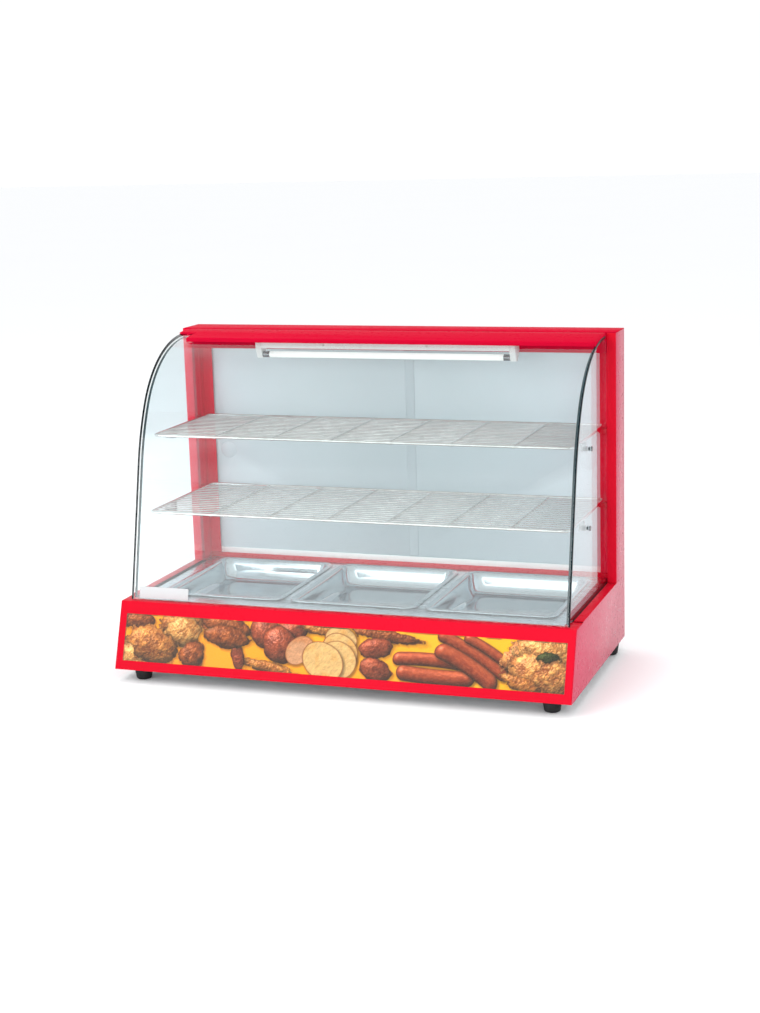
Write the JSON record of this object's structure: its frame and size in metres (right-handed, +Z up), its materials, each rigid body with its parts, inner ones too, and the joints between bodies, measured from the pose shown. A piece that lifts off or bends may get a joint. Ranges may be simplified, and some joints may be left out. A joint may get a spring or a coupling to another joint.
{
  "type": "heated food display case",
  "caption": "Countertop heated food display case with sunken pans, wire shelves, a curved lift-up front glass, flat glass sides, a tube lamp and sliding rear doors.",
  "frame": {"origin": "centre of the footprint, at the level of the counter the feet stand on", "axes": "+X to the customer's right along the front, +Y towards the back where the server stands, +Z up"},
  "size_m": [0.9, 0.45, 0.64],
  "materials": {
    "red_powder_coat": "gloss powder coat on folded sheet steel",
    "galvanised_steel": "satin bright sheet",
    "white_enamel": "gloss white",
    "printed_picture": "printed film under a clear gloss layer",
    "stainless": "fine brushed with pressed bowls",
    "front_glass_clear": "clear bent glass with polished dark-looking edges",
    "side_glass_clear": "clear flat glass with polished edges",
    "black_rubber": "matte",
    "aluminium": "satin extrusion",
    "pale_plastic": "moulded, slightly satin",
    "white_plastic": "smooth",
    "zinc_screws": "bright zinc plate",
    "lit_tube": "white phosphor-coated glass, lit",
    "tube_cap_metal": "plain cap",
    "door_panel": "satin grey sheet, half gloss",
    "pull_metal": "satin pressed cup",
    "chrome_wire": "bright chrome plate",
    "heater_sheath": "heat-tinted tube",
    "black_plastic": "moulded, fine grain",
    "red_lens": "translucent",
    "green_lens": "translucent",
    "terminal_plastic": "moulded",
    "ballast_case": "plain"
  },
  "bodies": {
    "frame": {"base_bottom_plate": "red_powder_coat", "base_side_left": "red_powder_coat", "base_side_right": "red_powder_coat", "base_front_frame": "red_powder_coat", "front_graphic_panel": "printed_picture", "base_rear_panel": "galvanised_steel", "rear_rail": "red_powder_coat", "deck_frame": "stainless", "post_left": "red_powder_coat", "post_right": "red_powder_coat", "rear_stile_left": "red_powder_coat", "rear_stile_right": "red_powder_coat", "top_cover": "red_powder_coat", "top_inner_liner": "white_enamel", "hinge_fixed_profile": "red_powder_coat", "side_glass_left": "side_glass_clear", "side_glass_right": "side_glass_clear", "glass_gasket_left": "black_rubber", "glass_gasket_right": "black_rubber", "lamp_housing": "white_enamel", "lamp_holders": "pale_plastic", "lamp_screws": "zinc_screws", "door_track_lower": "white_enamel", "door_track_upper": "white_enamel", "shelf_studs": "chrome_wire", "stud_washers": "white_plastic", "shelf_hooks": "red_powder_coat", "rubber_feet": "black_rubber", "foot_screws": "zinc_screws", "heating_element": "heater_sheath", "element_brackets": "galvanised_steel", "heat_tray": "galvanised_steel", "thermostat_body": "black_plastic", "rocker_housings": "black_plastic", "pilot_lamp": "red_lens", "cable_gland": "black_plastic", "terminal_block": "terminal_plastic", "lamp_ballast": "ballast_case", "body_screws": "zinc_screws"},
    "front_glass_door": {"front_glass": "front_glass_clear", "glass_clamp_profile": "red_powder_coat", "clamp_gasket": "black_rubber", "glass_clamp_strip": "aluminium", "clamp_end_caps": "red_powder_coat", "clamp_screws": "zinc_screws", "label_plate": "white_plastic"},
    "door_left": {"sliding_door_left": "door_panel", "door_pull_left": "pull_metal"},
    "door_right": {"sliding_door_right": "door_panel", "door_pull_right": "pull_metal"},
    "left_pan": {"pan_left": "stainless"},
    "centre_pan": {"pan_centre": "stainless"},
    "right_pan": {"pan_right": "stainless"},
    "upper_shelf": {"wire_shelf_upper": "chrome_wire"},
    "lower_shelf": {"wire_shelf_lower": "chrome_wire"},
    "thermostat": {"thermostat_knob": "black_plastic"},
    "power_switch": {"power_rocker": "red_lens"},
    "light_switch": {"light_rocker": "green_lens"},
    "lamp": {"lamp_tube": "lit_tube", "lamp_tube_caps": "tube_cap_metal"}
  },
  "joints": [
    {"name": "front_glass_hinge", "type": "hinge", "parent": "frame", "child": "front_glass_door", "pos_m": [0, 0.145, 0.6345], "axis": [-1, 0, 0], "range_deg": [0, 70]},
    {"name": "left_door_slide", "type": "slide", "parent": "frame", "child": "door_left", "axis": [1, 0, 0], "range_m": [0, 0.4]},
    {"name": "right_door_slide", "type": "slide", "parent": "frame", "child": "door_right", "axis": [-1, 0, 0], "range_m": [0, 0.4]},
    {"name": "left_pan_lift", "type": "slide", "parent": "frame", "child": "left_pan", "axis": [0, 0, 1], "range_m": [0, 0.07]},
    {"name": "centre_pan_lift", "type": "slide", "parent": "frame", "child": "centre_pan", "axis": [0, 0, 1], "range_m": [0, 0.07]},
    {"name": "right_pan_lift", "type": "slide", "parent": "frame", "child": "right_pan", "axis": [0, 0, 1], "range_m": [0, 0.07]},
    {"name": "upper_shelf_lift", "type": "slide", "parent": "frame", "child": "upper_shelf", "axis": [0, 0, 1], "range_m": [0, 0.02]},
    {"name": "lower_shelf_lift", "type": "slide", "parent": "frame", "child": "lower_shelf", "axis": [0, 0, 1], "range_m": [0, 0.02]},
    {"name": "thermostat_turn", "type": "hinge", "parent": "frame", "child": "thermostat", "pos_m": [0.25, 0.206, 0.092], "axis": [0, -1, 0], "range_deg": [0, 270]},
    {"name": "power_rocker_tip", "type": "hinge", "parent": "frame", "child": "power_switch", "pos_m": [0.32, 0.203, 0.092], "axis": [1, 0, 0], "range_deg": [0, 12]},
    {"name": "light_rocker_tip", "type": "hinge", "parent": "frame", "child": "light_switch", "pos_m": [0.36, 0.203, 0.092], "axis": [1, 0, 0], "range_deg": [0, 12]},
    {"name": "lamp_tube_turn", "type": "hinge", "parent": "frame", "child": "lamp", "pos_m": [-0.007, 0.132, 0.5914], "axis": [1, 0, 0], "range_deg": [0, 90]}
  ]
}
